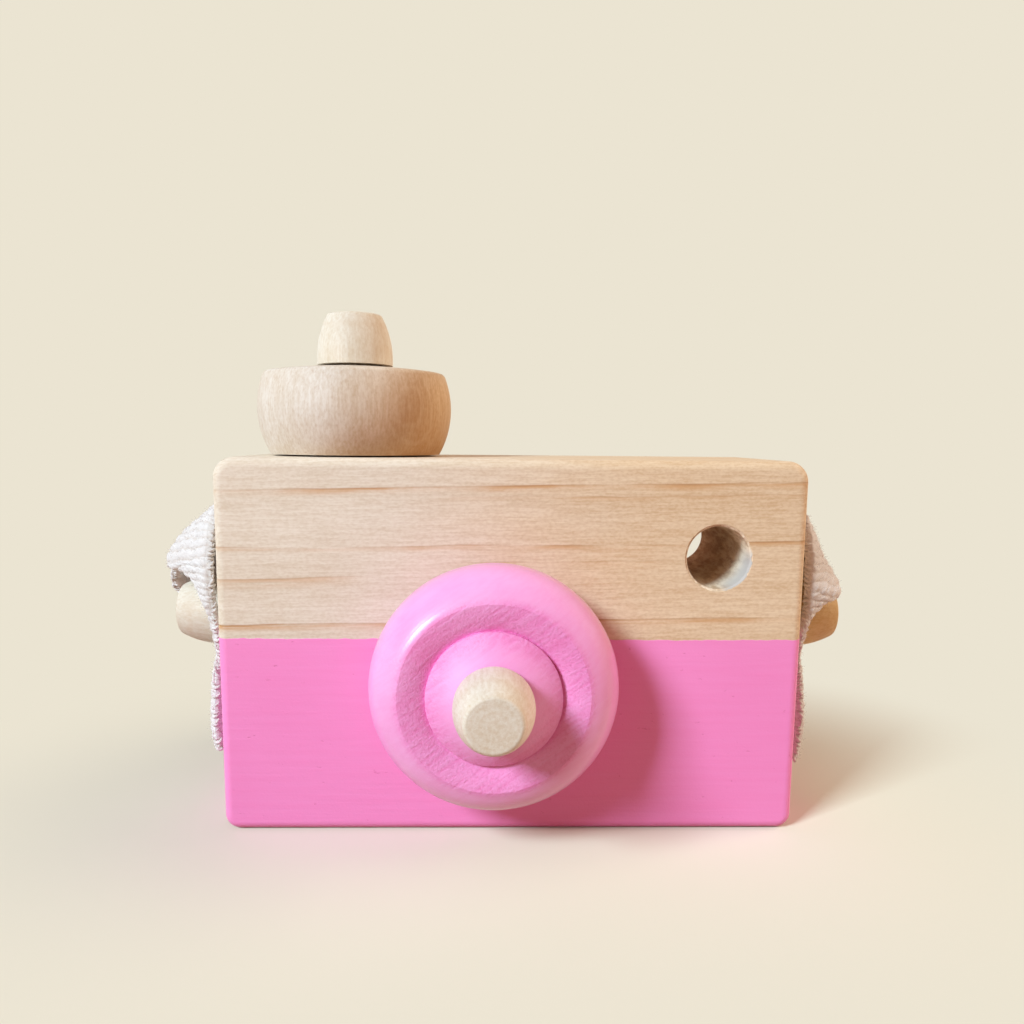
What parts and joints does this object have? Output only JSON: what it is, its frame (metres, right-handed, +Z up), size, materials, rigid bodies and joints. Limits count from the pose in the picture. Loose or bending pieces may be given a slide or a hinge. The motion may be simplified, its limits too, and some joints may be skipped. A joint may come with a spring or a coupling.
{
  "type": "wooden toy camera",
  "caption": "Wooden toy camera: painted block with a turning wheel for a lens, a turning dial disc, peg button, viewfinder hole and crocheted neck strap on side pegs.",
  "frame": {"origin": "middle of the block's underside", "axes": "+Z up, the lens faces -Y, +X is to the right as seen from the front"},
  "size_m": [0.1271, 0.0851, 0.0903],
  "materials": {
    "block": "oiled pale wood, lower part of every face dipped in satin pink paint",
    "wheel": "turned wood under satin pink paint",
    "peg": "turned, oiled",
    "dial": "turned, oiled",
    "strap": "crocheted cotton"
  },
  "bodies": {
    "camera": {"body_block": "block", "lens_peg": "peg", "dial_peg": "peg", "strap_peg_left": "peg", "strap_peg_right": "peg", "strap_end_left": "strap", "strap_end_right": "strap", "strap_hank": "strap", "strap_tie": "strap"},
    "lens": {"lens_wheel": "wheel"},
    "dial": {"dial_disc": "dial"}
  },
  "joints": [
    {"name": "lens_turn", "type": "hinge", "parent": "camera", "child": "lens", "pos_m": [-0.003, -0.017, 0.028], "axis": [0, -1, 0], "continuous": true},
    {"name": "dial_turn", "type": "hinge", "parent": "camera", "child": "dial", "pos_m": [-0.0286, 0, 0.065], "axis": [0, 0, 1], "continuous": true}
  ]
}
